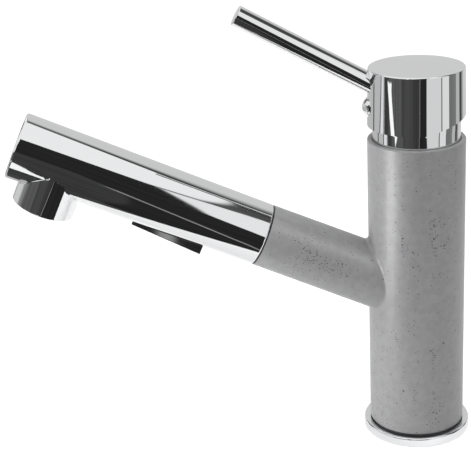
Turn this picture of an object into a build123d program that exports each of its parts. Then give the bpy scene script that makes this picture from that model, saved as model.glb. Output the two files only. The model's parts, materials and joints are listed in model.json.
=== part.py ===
from build123d import *
import os
from math import cos, hypot, pi, radians, sin, tan

# Pull-out kitchen mixer tap, in millimetres. +Z is up, the spout points to -Y, and the origin is
# the centre of the base ring's underside, where the tap stands on the worktop.

# Overall proportions
body_radius = 23.0
body_top = 150.3
body_bottom = 5.7
shell_bore = 20.9
base_ring_radius = 26.0
base_ring_height = 4.6
run_gap = 0.3
seat_gap = 0.05

# Spout line: it leaves the column axis at axis_height and climbs by spout_rise degrees
axis_height = 72.3
spout_rise = 24.56
stub_root_radius = 15.3
stub_mouth_radius = 14.97
stub_root = 10.0
stub_mouth = 80.8
stub_bore = 13.0
joint_line = 81.3
handset_tip = 204.15
handset_tip_radius = 15.73
handset_bore = 13.2
handset_end_wall = 2.15

# Outlet at the handset's tip, square to the spout line
outlet_place = 182.8
outlet_radius = 14.7
outlet_depth = 24.2
outlet_bore = 13.4

# Lever and cap
pivot_height = 156.0
lean = 12.5
cap_bottom = 157.1
cap_top = 184.3
cap_bottom_radius = 22.9
cap_top_radius = 22.4
cap_bore = 21.2
cap_roof = 180.0
rod_origin = 164.97
rod_rise = 29.96
rod_radius = 4.75
rod_tip = 94.3
plug_height = 166.2

# Frames: along the spout, across its section, down the outlet, along the lever and the spindle
spout_root = Vector(0, 0, axis_height)
spout_way = Vector(0, -cos(radians(spout_rise)), sin(radians(spout_rise)))
spout_up = Vector(0, sin(radians(spout_rise)), cos(radians(spout_rise)))
spout_axis = Axis(spout_root, spout_way)
spout_frame = Plane(origin=spout_root, x_dir=(1, 0, 0), z_dir=spout_way)
spout_section = Plane(origin=spout_root, x_dir=(1, 0, 0), z_dir=-spout_up)
spout_side = Plane(origin=spout_root, x_dir=spout_way, z_dir=(-1, 0, 0))
outlet_frame = Plane(origin=spout_root + spout_way * outlet_place, x_dir=(1, 0, 0), z_dir=-spout_up)
rod_way = Vector(0, -cos(radians(rod_rise)), sin(radians(rod_rise)))
rod_frame = Plane(origin=(0, 0, rod_origin), x_dir=(1, 0, 0), z_dir=rod_way)
spindle_way = Vector(0, -sin(radians(lean)), cos(radians(lean)))
spindle_frame = Plane(origin=(0, 0, pivot_height), x_dir=(1, 0, 0), z_dir=spindle_way)


def ring(outer, inner):
    """Fills the sketch being made with a flat ring."""
    Circle(outer)
    Circle(inner, mode=Mode.SUBTRACT)


# Base ring: chromed flange on the worktop, with a groove for its seal
ring_bore = 18.7
groove_inner = 20.5
groove_outer = 24.2
groove_depth = 1.5
ring_corner = 1.0
with BuildPart() as base_ring:
    with BuildSketch(Plane.XZ):
        Polygon(
            (ring_bore, 0),
            (groove_inner, 0),
            (groove_inner, groove_depth),
            (groove_outer, groove_depth),
            (groove_outer, 0),
            (base_ring_radius, 0),
            (base_ring_radius, base_ring_height),
            (ring_bore, base_ring_height),
        )
    revolve(axis=Axis.Z)
    fillet(base_ring.edges().group_by(Axis.Z)[-1].sort_by(SortBy.RADIUS)[-1], radius=ring_corner)

with BuildPart() as base_seal:
    with BuildSketch(Plane.XY):
        ring(groove_outer, groove_inner)
    extrude(amount=groove_depth)

# Foot: the brass plug of the inner column. The hose drops through its middle, the supply tails
# and the fixing stud screw in from below, and the three inner pipes stand in it.
foot_bottom = 0.4
foot_top = 17.0
foot_spigot_radius = 18.6
foot_radius = 19.3
hose_way_radius = 7.0
pipe_circle = 13.0
pipe_angles = (35.0, 90.0, 145.0)
pipe_radius = 4.0
pipe_bore = 3.0
tail_thread_radius = 4.5
tail_thread_depth = 10.0
stud_hole_radius = 3.4
stud_hole_depth = 12.0
pipe_seat = 12.0
swivel_half_angle = 60.0
stop_height = 13.5
stop_radius = 1.95
stop_groove_floor = 18.0
stop_groove_half_angle = swivel_half_angle + 7.0
pipe_spots = [
    (pipe_circle * cos(radians(angle)), pipe_circle * sin(radians(angle))) for angle in pipe_angles
]
groove_start = 90 - stop_groove_half_angle
groove_plane = Plane(
    origin=(0, 0, stop_height),
    x_dir=(cos(radians(groove_start)), sin(radians(groove_start)), 0),
    z_dir=(sin(radians(groove_start)), -cos(radians(groove_start)), 0),
)
with BuildPart() as foot:
    with BuildSketch(Plane.XY.offset(foot_bottom)):
        Circle(foot_spigot_radius)
    extrude(amount=base_ring_height - foot_bottom)
    with BuildSketch(Plane.XY.offset(base_ring_height)):
        Circle(foot_radius)
    extrude(amount=foot_top - base_ring_height)
    with BuildSketch(Plane.XY):
        Circle(hose_way_radius)
    extrude(amount=foot_top, mode=Mode.SUBTRACT)
    with BuildSketch(Plane.XY.offset(foot_bottom)):
        with Locations(*pipe_spots):
            Circle(tail_thread_radius)
    extrude(amount=tail_thread_depth, mode=Mode.SUBTRACT)
    with BuildSketch(Plane.XY.offset(foot_bottom)):
        with Locations(*pipe_spots):
            Circle(pipe_bore)
    extrude(amount=foot_top, mode=Mode.SUBTRACT)
    with BuildSketch(Plane.XY.offset(pipe_seat)):
        with Locations(*pipe_spots):
            Circle(pipe_radius + seat_gap)
    extrude(amount=foot_top, mode=Mode.SUBTRACT)
    with BuildSketch(Plane.XY.offset(foot_bottom)):
        with Locations((0, -pipe_circle)):
            Circle(stud_hole_radius)
    extrude(amount=stud_hole_depth, mode=Mode.SUBTRACT)
    with BuildSketch(groove_plane):
        with Locations((foot_radius, 0)):
            Rectangle(2 * (foot_radius - stop_groove_floor), 2 * (stop_radius + run_gap))
    revolve(axis=Axis.Z, revolution_arc=2 * stop_groove_half_angle, mode=Mode.SUBTRACT)

# Slide rings: the outer shell turns on these two plastic rings round the fixed column
slide_radius = shell_bore - run_gap
lower_flange_radius = 22.2
lower_ring_top = 10.5
with BuildPart() as lower_slide_ring:
    with BuildSketch(Plane.XZ):
        Polygon(
            (foot_radius, base_ring_height),
            (lower_flange_radius, base_ring_height),
            (lower_flange_radius, body_bottom - run_gap),
            (slide_radius, body_bottom - run_gap),
            (slide_radius, lower_ring_top),
            (foot_radius, lower_ring_top),
        )
    revolve(axis=Axis.Z)

# Column head: brass cup that seats the cartridge and joins the pipes to its ports
head_bottom = 108.0
head_radius = 20.2
head_shoulder = 136.0
head_top = 156.0
cup_radius = 17.6
cup_floor = 125.5
pipe_entry = 5.0
port_circle = 9.5
port_radius = 2.9
port_meeting = 116.0
port_spots = [
    (port_circle * cos(radians(angle)), port_circle * sin(radians(angle))) for angle in pipe_angles
]
with BuildPart() as column_head:
    with BuildSketch(Plane.XZ):
        Polygon(
            (0, head_bottom),
            (head_radius, head_bottom),
            (head_radius, head_shoulder),
            (foot_radius, head_shoulder),
            (foot_radius, head_top),
            (cup_radius, head_top),
            (cup_radius, cup_floor),
            (0, cup_floor),
        )
    revolve(axis=Axis.Z)
    with BuildSketch(Plane.XY.offset(head_bottom)):
        with Locations(*pipe_spots):
            Circle(pipe_radius + seat_gap)
    extrude(amount=pipe_entry, mode=Mode.SUBTRACT)
    with BuildSketch(Plane.XY.offset(head_bottom)):
        with Locations(*pipe_spots):
            Circle(pipe_bore)
    extrude(amount=port_meeting + 1 - head_bottom, mode=Mode.SUBTRACT)
    with BuildSketch(Plane.XY.offset(port_meeting)):
        with Locations(*port_spots):
            Circle(port_radius)
    extrude(amount=cup_floor - port_meeting, mode=Mode.SUBTRACT)

upper_ring_top = 146.0
with BuildPart() as upper_slide_ring:
    with BuildSketch(Plane.XY.offset(head_shoulder)):
        ring(slide_radius, foot_radius)
    extrude(amount=upper_ring_top - head_shoulder)

# Inner pipes: hot on the left, cold on the right and mixed water at the back
pipe_top = head_bottom + pipe_entry
with BuildPart() as cold_pipe:
    with BuildSketch(Plane.XY.offset(pipe_seat)):
        with Locations(pipe_spots[0]):
            ring(pipe_radius, pipe_bore)
    extrude(amount=pipe_top - pipe_seat)

with BuildPart() as mixed_pipe:
    with BuildSketch(Plane.XY.offset(pipe_seat)):
        with Locations(pipe_spots[1]):
            ring(pipe_radius, pipe_bore)
    extrude(amount=pipe_top - pipe_seat)

with BuildPart() as hot_pipe:
    with BuildSketch(Plane.XY.offset(pipe_seat)):
        with Locations(pipe_spots[2]):
            ring(pipe_radius, pipe_bore)
    extrude(amount=pipe_top - pipe_seat)

# Cartridge: seals, base, lapped ceramic discs, housing, turret and nut
seal_radius = 4.2
seal_height = 1.2
with BuildPart() as cartridge_seals:
    with BuildSketch(Plane.XY.offset(cup_floor)):
        with Locations(*port_spots):
            ring(seal_radius, port_radius + 0.2)
    extrude(amount=seal_height)

cartridge_radius = 17.4
disc_seat = 129.5
base_rim = 131.0
fixed_disc_radius = 14.5
with BuildPart() as cartridge_base:
    with BuildSketch(Plane.XY.offset(cup_floor)):
        Circle(cartridge_radius)
    extrude(amount=base_rim - cup_floor)
    with BuildSketch(Plane.XY.offset(disc_seat)):
        Circle(fixed_disc_radius + 0.1)
    extrude(amount=base_rim, mode=Mode.SUBTRACT)
    with BuildSketch(Plane.XY.offset(cup_floor)):
        with Locations(*port_spots):
            Circle(seal_radius)
    extrude(amount=seal_height, mode=Mode.SUBTRACT)
    with BuildSketch(Plane.XY.offset(cup_floor)):
        with Locations(*port_spots):
            Circle(port_radius)
    extrude(amount=base_rim, mode=Mode.SUBTRACT)

disc_face = 133.5
disc_port_circle = 8.0
disc_port_radius = 2.6
disc_port_spots = [
    (disc_port_circle * cos(radians(angle)), disc_port_circle * sin(radians(angle)))
    for angle in pipe_angles
]
with BuildPart() as fixed_disc:
    with BuildSketch(Plane.XY.offset(disc_seat)):
        Circle(fixed_disc_radius)
        with Locations(*disc_port_spots):
            Circle(disc_port_radius, mode=Mode.SUBTRACT)
    extrude(amount=disc_face - disc_seat)

# The spindle's ball sits this far below the pivot and pushes the carrier across the fixed disc
ball_reach = 12.0
ball_radius = 3.0
ball_offset = ball_reach * sin(radians(lean))
moving_disc_radius = 11.0
carrier_bottom = 137.0
carrier_top = 146.3
carrier_radius = 10.5
carrier_half_width = 8.0
ball_pocket_floor = 140.5
mixing_length = 15.0
mixing_width = 9.0
mixing_depth = 2.0
with BuildPart() as moving_disc:
    with BuildSketch(Plane.XY.offset(disc_face)):
        with Locations((0, ball_offset)):
            Circle(moving_disc_radius)
    extrude(amount=carrier_bottom - disc_face)
    with BuildSketch(Plane.XY.offset(disc_face)):
        with Locations((0, ball_offset)):
            SlotOverall(mixing_length, mixing_width)
    extrude(amount=mixing_depth, mode=Mode.SUBTRACT)

with BuildPart() as disc_carrier:
    with BuildSketch(Plane.XY.offset(carrier_bottom)):
        with Locations((0, ball_offset)):
            Circle(carrier_radius)
            Rectangle(2 * carrier_half_width, 2 * carrier_radius, mode=Mode.INTERSECT)
    extrude(amount=carrier_top - carrier_bottom)
    with BuildSketch(Plane.XY.offset(ball_pocket_floor)):
        with Locations((0, ball_offset)):
            Circle(ball_radius + 2 * seat_gap)
    extrude(amount=carrier_top, mode=Mode.SUBTRACT)

housing_bore = 15.2
housing_shoulder = 151.5
housing_neck_radius = 12.5
housing_top = 155.5
flange_radius = 13.0
flange_bottom = 146.8
flange_top = 149.2
turret_radius = 9.0
turret_top = 159.5
with BuildPart() as cartridge_housing:
    with BuildSketch(Plane.XZ):
        Polygon(
            (housing_bore, base_rim),
            (cartridge_radius, base_rim),
            (cartridge_radius, housing_shoulder),
            (housing_neck_radius, housing_shoulder),
            (housing_neck_radius, housing_top),
            (turret_radius + run_gap, housing_top),
            (turret_radius + run_gap, flange_top + run_gap),
            (flange_radius + run_gap, flange_top + run_gap),
            (flange_radius + run_gap, flange_bottom - run_gap),
            (housing_bore, flange_bottom - run_gap),
        )
    revolve(axis=Axis.Z)

# Turret: turns with the lever, guides the carrier between two cheeks and holds the pivot pin
cheek_bottom = 137.4
slide_gap = 0.15
spindle_half = 4.0
slot_half_length = 5.2
pin_radius = 1.5
pin_half_length = 8.0
with BuildPart() as turret:
    with BuildSketch(Plane.XY.offset(flange_bottom)):
        Circle(flange_radius)
    extrude(amount=flange_top - flange_bottom)
    with BuildSketch(Plane.XY.offset(flange_top)):
        Circle(turret_radius)
    extrude(amount=turret_top - flange_top)
    with BuildSketch(Plane.XY.offset(cheek_bottom)):
        Circle(flange_radius)
        Rectangle(
            2 * (carrier_half_width + slide_gap), 2 * flange_radius, mode=Mode.SUBTRACT
        )
    extrude(amount=flange_bottom - cheek_bottom)
    with BuildSketch(Plane.XY.offset(flange_bottom)):
        Rectangle(2 * (spindle_half + slide_gap), 2 * slot_half_length)
    extrude(amount=turret_top, mode=Mode.SUBTRACT)
    with BuildSketch(Plane.YZ.offset(-pin_half_length)):
        with Locations((0, pivot_height)):
            Circle(pin_radius)
    extrude(amount=2 * pin_half_length, mode=Mode.SUBTRACT)

with BuildPart() as pivot_pin:
    with BuildSketch(Plane.YZ.offset(-pin_half_length)):
        with Locations((0, pivot_height)):
            Circle(pin_radius)
    extrude(amount=2 * pin_half_length)

nut_flange_top = 155.0
nut_top = 158.5
nut_across_flats = 30.0
with BuildPart() as cartridge_nut:
    with BuildSketch(Plane.XY.offset(housing_shoulder)):
        Circle(cup_radius - seat_gap)
    extrude(amount=nut_flange_top - housing_shoulder)
    with BuildSketch(Plane.XY.offset(nut_flange_top)):
        RegularPolygon(radius=nut_across_flats / 2, side_count=6, major_radius=False)
    extrude(amount=nut_top - nut_flange_top)
    with BuildSketch(Plane.XY.offset(housing_shoulder)):
        Circle(housing_neck_radius + 0.1)
    extrude(amount=nut_top, mode=Mode.SUBTRACT)

# Neck ring: chromed cover with a spherical shoulder, so that the cap tips clear of it
neck_radius = shell_bore - run_gap
neck_bottom = upper_ring_top
neck_bore = foot_radius + seat_gap
neck_top = 162.5
neck_opening = 16.5
neck_rise = neck_top - pivot_height
neck_shoulder_radius = (neck_radius**2 - neck_rise**2) ** 0.5
neck_mid_rise = neck_rise / 2
neck_mid_radius = (neck_radius**2 - neck_mid_rise**2) ** 0.5
neck_wall = 1.3
with BuildPart() as neck_ring:
    with BuildSketch(Plane.XZ):
        with BuildLine():
            Line((neck_radius, neck_bottom), (neck_radius, pivot_height))
            ThreePointArc(
                (neck_radius, pivot_height),
                (neck_mid_radius, pivot_height + neck_mid_rise),
                (neck_shoulder_radius, neck_top),
            )
            Polyline(
                (neck_shoulder_radius, neck_top),
                (neck_opening, neck_top),
                (neck_opening, neck_top - neck_wall),
                (neck_shoulder_radius - neck_wall, neck_top - neck_wall),
                (neck_bore, pivot_height + 1.0),
                (neck_bore, neck_bottom),
                (neck_radius, neck_bottom),
            )
        make_face()
    revolve(axis=Axis.Z)

# Spindle: square steel lever on the pivot pin, with a ball at its lower end
spindle_top = 19.0
spindle_foot = -3.0
shank_radius = 2.0
with BuildPart() as spindle:
    with BuildSketch(spindle_frame.offset(spindle_foot)):
        Rectangle(2 * spindle_half, 2 * spindle_half)
    extrude(amount=spindle_top - spindle_foot)
    with BuildSketch(spindle_frame.offset(-ball_reach)):
        Circle(shank_radius)
    extrude(amount=ball_reach + spindle_foot)
    with Locations(spindle_frame.offset(-ball_reach).location):
        Sphere(ball_radius)
    with BuildSketch(Plane.YZ.offset(-pin_half_length)):
        with Locations((0, pivot_height)):
            Circle(pin_radius + 0.05)
    extrude(amount=2 * pin_half_length, mode=Mode.SUBTRACT)

# Lever cap: a hollow turned cap, cut away under its back so that it can tip, with a boss that
# grips the spindle and a web that takes the lever rod and the grub screw
boss_radius = 8.0
boss_bottom = 7.4
boss_top = 26.5
cap_corner = 0.7
cut_reach = 30.0
web_half_width = 7.5
web_bottom = 163.0
rod_seat = 21.5
rod_lip = 0.6
rod_thread_radius = 2.5
rod_thread_end = 16.5
grub_radius = 2.5
plug_radius = 4.6
plug_seat = 21.5
with BuildPart() as lever_cap:
    with BuildSketch(Plane.XZ):
        Polygon(
            (cap_bore, cap_bottom),
            (cap_bottom_radius, cap_bottom),
            (cap_top_radius, cap_top),
            (0, cap_top),
            (0, cap_roof),
            (cap_bore, cap_roof),
        )
    revolve(axis=Axis.Z)
    fillet(lever_cap.edges().group_by(Axis.Z)[-1], radius=cap_corner)
    with BuildSketch(Plane.YZ):
        Polygon(
            (0, cap_bottom - 1),
            (0, cap_bottom),
            (cut_reach, cap_bottom + cut_reach * tan(radians(lean))),
            (cut_reach, cap_bottom - 1),
        )
    extrude(amount=cut_reach, both=True, mode=Mode.SUBTRACT)
    with BuildSketch(spindle_frame.offset(boss_bottom)):
        Circle(boss_radius)
    extrude(amount=boss_top - boss_bottom)
    with BuildSketch(Plane.XY.offset(web_bottom)):
        with Locations((0, -cap_bore / 2)):
            Rectangle(2 * web_half_width, cap_bore)
        Circle(cap_bore + 0.5, mode=Mode.INTERSECT)
    extrude(amount=cap_roof - web_bottom + 0.5)
    with BuildSketch(spindle_frame.offset(0)):
        Rectangle(2 * spindle_half, 2 * spindle_half)
    extrude(amount=spindle_top, mode=Mode.SUBTRACT)
    with BuildSketch(rod_frame.offset(rod_seat)):
        Circle(rod_radius)
    extrude(amount=rod_tip, mode=Mode.SUBTRACT)
    fillet(lever_cap.edges(Select.NEW), radius=rod_lip)
    with BuildSketch(rod_frame.offset(rod_thread_end)):
        Circle(rod_thread_radius)
    extrude(amount=rod_seat - rod_thread_end, mode=Mode.SUBTRACT)
    with BuildSketch(Plane.XZ.offset(spindle_half)):
        with Locations((0, plug_height)):
            Circle(grub_radius)
    extrude(amount=body_radius, mode=Mode.SUBTRACT)
    with BuildSketch(Plane.XZ.offset(plug_seat)):
        with Locations((0, plug_height)):
            Circle(plug_radius)
    extrude(amount=body_radius, mode=Mode.SUBTRACT)

rod_corner = 0.5
with BuildPart() as lever_rod:
    with BuildSketch(rod_frame.offset(rod_seat)):
        Circle(rod_radius)
    extrude(amount=rod_tip - rod_seat)
    fillet(lever_rod.edges().sort_by(Axis((0, 0, rod_origin), rod_way))[-1], radius=rod_corner)
    with BuildSketch(rod_frame.offset(rod_thread_end)):
        Circle(rod_thread_radius)
    extrude(amount=rod_seat - rod_thread_end)

# Grub screw: its dog point bears on the spindle's front face
dog_radius = 1.2
dog_length = 1.0
grub_length = 7.0
grub_socket_half = 1.25
grub_socket_depth = 3.0
spindle_face_at_plug = -(
    spindle_half * cos(radians(lean))
    + (plug_height + dog_radius - pivot_height + spindle_half * sin(radians(lean))) * tan(radians(lean))
)
with BuildPart() as grub_screw:
    with BuildSketch(Plane.XZ.offset(-spindle_face_at_plug)):
        with Locations((0, plug_height)):
            Circle(dog_radius)
    extrude(amount=dog_length)
    with BuildSketch(Plane.XZ.offset(dog_length - spindle_face_at_plug)):
        with Locations((0, plug_height)):
            Circle(grub_radius)
    extrude(amount=grub_length)
    with BuildSketch(Plane.XZ.offset(dog_length - spindle_face_at_plug + grub_length)):
        with Locations((0, plug_height)):
            RegularPolygon(radius=grub_socket_half, side_count=6, major_radius=False)
    extrude(amount=-grub_socket_depth, mode=Mode.SUBTRACT)

# Index plug: domed button that closes the grub screw's hole
plug_face = 22.9
plug_proud = 25.25
stem_radius = 2.4
stem_end = 17.5
with BuildPart() as index_plug:
    with BuildSketch(Plane.YZ):
        with BuildLine():
            Polyline(
                (-stem_end, plug_height),
                (-stem_end, plug_height + stem_radius),
                (-plug_seat, plug_height + stem_radius),
                (-plug_seat, plug_height + plug_radius),
                (-plug_face, plug_height + plug_radius),
            )
            RadiusArc(
                (-plug_face, plug_height + plug_radius),
                (-plug_proud, plug_height),
                -(plug_radius**2 + (plug_proud - plug_face) ** 2) / (2 * (plug_proud - plug_face)),
            )
            Line((-plug_proud, plug_height), (-stem_end, plug_height))
        make_face()
    revolve(axis=Axis((0, 0, plug_height), (0, 1, 0)))

# Spout shell: the painted outer body, one casting with the stub that carries the handset
shell_corner = 0.5
stub_blend = 1.5
with BuildPart() as spout_shell:
    with BuildSketch(Plane.XY.offset(body_bottom)):
        Circle(body_radius)
    extrude(amount=body_top - body_bottom)
    fillet(spout_shell.edges().group_by(Axis.Z)[-1], radius=shell_corner)
    with BuildSketch(spout_section):
        Polygon(
            (0, stub_root), (stub_root_radius, stub_root), (stub_mouth_radius, stub_mouth), (0, stub_mouth)
        )
    revolve(axis=spout_axis)
    fillet(spout_shell.edges(Select.NEW).filter_by(GeomType.CIRCLE, reverse=True), radius=stub_blend)
    with BuildSketch(Plane.XY.offset(body_bottom)):
        Circle(shell_bore)
    extrude(amount=body_top, mode=Mode.SUBTRACT)
    with BuildSketch(spout_frame.offset(stub_root)):
        Circle(stub_bore)
    extrude(amount=stub_mouth, mode=Mode.SUBTRACT)
    with BuildSketch(Plane.XZ.offset(-body_radius)):
        with Locations((0, stop_height)):
            Circle(stop_radius)
    extrude(amount=body_radius / 2, mode=Mode.SUBTRACT)

# Stop screw: its tip rides in the foot's groove, which holds the shell down and limits the swivel
stop_tip = 18.2
stop_head = 22.6
stop_socket_half = 1.0
stop_socket_depth = 1.8
with BuildPart() as stop_screw:
    with BuildSketch(Plane.XZ.offset(-stop_head)):
        with Locations((0, stop_height)):
            Circle(stop_radius)
    extrude(amount=stop_head - stop_tip)
    with BuildSketch(Plane.XZ.offset(-stop_head)):
        with Locations((0, stop_height)):
            RegularPolygon(radius=stop_socket_half, side_count=6, major_radius=False)
    extrude(amount=stop_socket_depth, mode=Mode.SUBTRACT)

# Guide bush: plastic sleeve in the stub's mouth, whose thin flange shows as the joint line
bush_inner = 11.6
bush_inner_end = 46.0
bush_flange_radius = 14.6
bush_face = 81.1
with BuildPart() as guide_bush:
    with BuildSketch(spout_section):
        Polygon(
            (bush_inner, bush_inner_end),
            (stub_bore, bush_inner_end),
            (stub_bore, stub_mouth),
            (bush_flange_radius, stub_mouth),
            (bush_flange_radius, bush_face),
            (bush_inner, bush_face),
        )
    revolve(axis=spout_axis)

# Pull-out hose: from the handset's fitting through one long bend and down the column
hose_radius = 5.0
hose_bore = 3.2
hose_bend = 30.0
hose_end = 38.0
hose_foot = 1.0
hose_start = spout_root + spout_way * hose_end
with BuildPart() as pullout_hose:
    with BuildLine() as hose_line:
        FilletPolyline(
            (hose_start.X, hose_start.Y, hose_start.Z),
            (0, 0, axis_height),
            (0, 0, hose_foot),
            radius=hose_bend,
        )
    with BuildSketch(Plane(origin=hose_start, x_dir=(1, 0, 0), z_dir=-spout_way)):
        ring(hose_radius, hose_bore)
    sweep(path=hose_line.line)
hose_length = sum(edge.length for edge in hose_line.line.edges())
hose_section = pi * (hose_radius**2 - hose_bore**2)
volume_ratio = pullout_hose.part.volume / hose_section / hose_length
print("hose length", round(hose_length, 1), "bend radius", hose_bend)
print("hose volume over section times length", round(volume_ratio, 4))

# Handset shell: chromed tube with a closed end and the outlet collar
button_half_width = 5.0
button_rear = 106.2
button_front = 141.5
slot_rear = 105.2
slot_front = 142.0
slot_half_width = button_half_width + run_gap
end_corner = 1.3
joint_corner = 0.8
rim_corner = 0.5
collar_blend = 0.8
with BuildPart() as handset_shell:
    with BuildSketch(spout_section):
        Polygon(
            (0, joint_line),
            (stub_mouth_radius, joint_line),
            (handset_tip_radius, handset_tip),
            (0, handset_tip),
        )
    revolve(axis=spout_axis)
    fillet(handset_shell.edges().sort_by(spout_axis)[-1], radius=end_corner)
    fillet(handset_shell.edges().sort_by(spout_axis)[0], radius=joint_corner)
    with BuildSketch(outlet_frame):
        Circle(outlet_radius)
    extrude(amount=outlet_depth)
    fillet(handset_shell.edges(Select.NEW).filter_by(GeomType.CIRCLE, reverse=True), radius=collar_blend)
    fillet(handset_shell.edges().sort_by(Axis(outlet_frame.origin, -spout_up))[-1], radius=rim_corner)
    with BuildSketch(spout_frame.offset(joint_line)):
        Circle(handset_bore)
    extrude(amount=handset_tip - handset_end_wall - joint_line, mode=Mode.SUBTRACT)
    with BuildSketch(outlet_frame):
        Circle(outlet_bore)
    extrude(amount=outlet_depth, mode=Mode.SUBTRACT)
    with BuildSketch(spout_side):
        Polygon(
            (slot_rear, -handset_tip_radius - 1),
            (slot_rear, -boss_radius),
            (slot_front, -boss_radius),
            (slot_front, -handset_tip_radius - 1),
        )
    extrude(amount=slot_half_width, both=True, mode=Mode.SUBTRACT)

# Handset tail: plastic spigot that slides into the guide bush and takes the hose fitting
tail_radius = bush_inner - run_gap
tail_end = 56.0
tail_front = 93.0
tail_seat_radius = 13.1
fitting_thread_radius = 7.4
fitting_seat = 66.0
tail_bore = 5.0
with BuildPart() as handset_tail:
    with BuildSketch(spout_section):
        Polygon(
            (fitting_thread_radius, tail_end),
            (tail_radius, tail_end),
            (tail_radius, joint_line + 0.1),
            (tail_seat_radius, joint_line + 0.1),
            (tail_seat_radius, tail_front),
            (tail_bore, tail_front),
            (tail_bore, fitting_seat),
            (fitting_thread_radius, fitting_seat),
        )
    revolve(axis=spout_axis)

# Hose fitting: crimped ferrule, hexagon and thread in one brass piece
ferrule_radius = 6.5
ferrule_front = 49.0
hexagon_across_flats = 17.0
washer_height = 2.0
with BuildPart() as hose_fitting:
    with BuildSketch(spout_frame.offset(hose_end)):
        Circle(ferrule_radius)
    extrude(amount=ferrule_front - hose_end)
    with BuildSketch(spout_frame.offset(ferrule_front)):
        RegularPolygon(radius=hexagon_across_flats / 2, side_count=6, major_radius=False)
    extrude(amount=tail_end - ferrule_front)
    with BuildSketch(spout_frame.offset(tail_end)):
        Circle(fitting_thread_radius - seat_gap)
    extrude(amount=fitting_seat - washer_height - tail_end)
    with BuildSketch(spout_frame.offset(hose_end)):
        Circle(hose_bore)
    extrude(amount=fitting_seat, mode=Mode.SUBTRACT)

with BuildPart() as hose_washer:
    with BuildSketch(spout_frame.offset(fitting_seat - washer_height)):
        ring(fitting_thread_radius - 0.1, hose_bore)
    extrude(amount=washer_height)

# Check valve: spring-loaded mushroom in a spoked cage, here one moulded insert
valve_start = 68.0
valve_end = 80.0
cage_wall = 1.2
spoke_width = 1.0
spoke_start = 70.0
spoke_height = 1.5
hub_radius = 1.4
valve_stem_radius = 1.0
stem_start = 71.0
mushroom_start = 76.0
mushroom_radius = 3.0
mushroom_height = 1.5
mushroom_taper = -8
with BuildPart() as check_valve:
    with BuildSketch(spout_frame.offset(valve_start)):
        ring(tail_bore, tail_bore - cage_wall)
    extrude(amount=valve_end - valve_start)
    with BuildSketch(spout_frame.offset(spoke_start)):
        with PolarLocations(0, 3):
            with Locations((tail_bore / 2, 0)):
                Rectangle(tail_bore - cage_wall / 2, spoke_width)
        Circle(hub_radius)
    extrude(amount=spoke_height)
    with BuildSketch(spout_frame.offset(stem_start)):
        Circle(valve_stem_radius)
    extrude(amount=mushroom_start + mushroom_height - stem_start)
    with BuildSketch(spout_frame.offset(mushroom_start)):
        Circle(mushroom_radius)
    extrude(amount=mushroom_height, taper=mushroom_taper)

# Waterway: moulded inner tube with the diverter block that the button and its valve sit in
waterway_radius = 9.0
waterway_bore = 4.0
block_radius = 12.8
block_rear = 101.0
block_front = 147.0
waterway_front = 166.0
nose_radius = 4.9
nose_front = 172.5
nose_bore = 3.4
pocket_ceiling = -7.5
hinge_place = 138.5
hinge_drop = -10.2
hinge_pin_radius = 0.8
hinge_pin_half = 7.2
spool_place = 112.0
spool_radius = 2.5
spring_seat = 5.4
spool_frame = Plane(origin=spout_root + spout_way * spool_place, x_dir=(1, 0, 0), z_dir=spout_up)
with BuildPart() as waterway:
    with BuildSketch(spout_frame.offset(tail_front)):
        Circle(waterway_radius)
    extrude(amount=waterway_front - tail_front)
    with BuildSketch(spout_frame.offset(block_rear)):
        Circle(block_radius)
    extrude(amount=block_front - block_rear)
    with BuildSketch(spout_frame.offset(waterway_front)):
        Circle(nose_radius)
    extrude(amount=nose_front - waterway_front)
    with BuildSketch(spout_side):
        Polygon(
            (slot_rear, -block_radius - 1),
            (slot_rear, pocket_ceiling),
            (slot_front, pocket_ceiling),
            (slot_front, -block_radius - 1),
        )
    extrude(amount=slot_half_width, both=True, mode=Mode.SUBTRACT)
    with BuildSketch(spout_frame.offset(tail_front)):
        Circle(waterway_bore)
    extrude(amount=waterway_front - 2 - tail_front, mode=Mode.SUBTRACT)
    with BuildSketch(spout_frame.offset(tail_front)):
        Circle(nose_bore)
    extrude(amount=nose_front - tail_front, mode=Mode.SUBTRACT)
    with BuildSketch(spool_frame.offset(pocket_ceiling)):
        Circle(spool_radius + 0.1)
    extrude(amount=spring_seat - pocket_ceiling, mode=Mode.SUBTRACT)
    with BuildSketch(spout_side):
        with Locations((hinge_place, hinge_drop)):
            Circle(hinge_pin_radius)
    extrude(amount=hinge_pin_half, both=True, mode=Mode.SUBTRACT)

# Spray button: wedge-shaped rocker under the handset, hinged near its thin front end
button_rear_drop = -18.75
button_front_drop = -16.1
button_deck = -11.0
button_corner = 0.5
lug_radius = 2.0
with BuildPart() as spray_button:
    with BuildSketch(spout_side):
        Polygon(
            (button_rear, button_deck),
            (button_rear, button_rear_drop),
            (button_front, button_front_drop),
            (button_front, button_deck - 1.5),
            (hinge_place + lug_radius, hinge_drop),
            (hinge_place - lug_radius, hinge_drop),
            (hinge_place - lug_radius, button_deck),
        )
        with Locations((hinge_place, hinge_drop)):
            Circle(lug_radius)
    extrude(amount=button_half_width, both=True)
    fillet(spray_button.faces().sort_by(Axis(spout_root, -spout_up))[-1].edges(), radius=button_corner)
    with BuildSketch(spout_side):
        with Locations((hinge_place, hinge_drop)):
            Circle(hinge_pin_radius + 0.05)
    extrude(amount=button_half_width, both=True, mode=Mode.SUBTRACT)

with BuildPart() as button_pin:
    with BuildSketch(spout_side):
        with Locations((hinge_place, hinge_drop)):
            Circle(hinge_pin_radius)
    extrude(amount=hinge_pin_half, both=True)

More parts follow.
